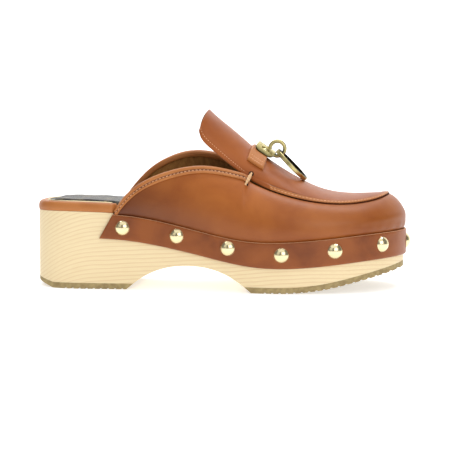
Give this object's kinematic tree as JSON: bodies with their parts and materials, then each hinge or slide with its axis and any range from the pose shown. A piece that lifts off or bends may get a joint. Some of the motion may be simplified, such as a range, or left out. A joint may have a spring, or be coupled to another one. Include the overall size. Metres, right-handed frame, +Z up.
{
  "type": "wooden clog",
  "caption": "Slip-on clog with a wooden platform sole, nailed leather upper, raised tongue and loose rings on the instep.",
  "frame": {"origin": "on the ground under the middle of the heel tread, in the middle of the heel's width", "axes": "+X from heel to toe, +Y towards the inner side of the foot, +Z up"},
  "size_m": [0.262, 0.1016, 0.1241],
  "materials": {
    "wood": "pale, fine sanded, clear oil",
    "tread_rubber": "matt, moulded, honey coloured",
    "foam": "open foam, hidden",
    "trim_leather": "smooth tan, satin",
    "sock_leather": "crackled dark metallic foil",
    "upper_leather": "smooth waxed tan, satin",
    "lining_suede": "brushed, matt",
    "stiffener": "hidden sheet",
    "rand_leather": "smooth red-brown, satin",
    "nail_brass": "polished pale brass",
    "tack_steel": "plain steel",
    "antique_brass": "antiqued, dark in the edges",
    "rivet_brass": "polished by wear",
    "thread": "waxed cream thread"
  },
  "bodies": {
    "clog": {"wood_sole": "wood", "heel_tread": "tread_rubber", "forepart_tread": "tread_rubber", "footbed_pad": "foam", "footbed_rim": "trim_leather", "sock_liner": "sock_leather", "vamp": "upper_leather", "vamp_lining": "lining_suede", "toe_puff": "stiffener", "apron": "upper_leather", "apron_lining": "lining_suede", "collar_binding_lateral": "trim_leather", "collar_binding_medial": "trim_leather", "rand_band": "rand_leather", "dome_nails": "nail_brass", "lasting_tacks": "tack_steel", "instep_strap": "trim_leather", "bridge_plate": "antique_brass", "plate_rivets": "rivet_brass", "rivet_washers": "tack_steel", "bar_tacks": "thread"},
    "small_ring": {"small_ring": "antique_brass"},
    "large_ring": {"large_ring": "antique_brass"}
  },
  "joints": [
    {"name": "small_ring_turn", "type": "hinge", "parent": "clog", "child": "small_ring", "pos_m": [0.13292, 0, 0.09649], "axis": [0, -1, 0], "range_deg": [0, 60]},
    {"name": "large_ring_swing", "type": "hinge", "parent": "small_ring", "child": "large_ring", "pos_m": [0.13402, 0, 0.0947], "axis": [0, -1, 0], "range_deg": [0, 120]}
  ]
}
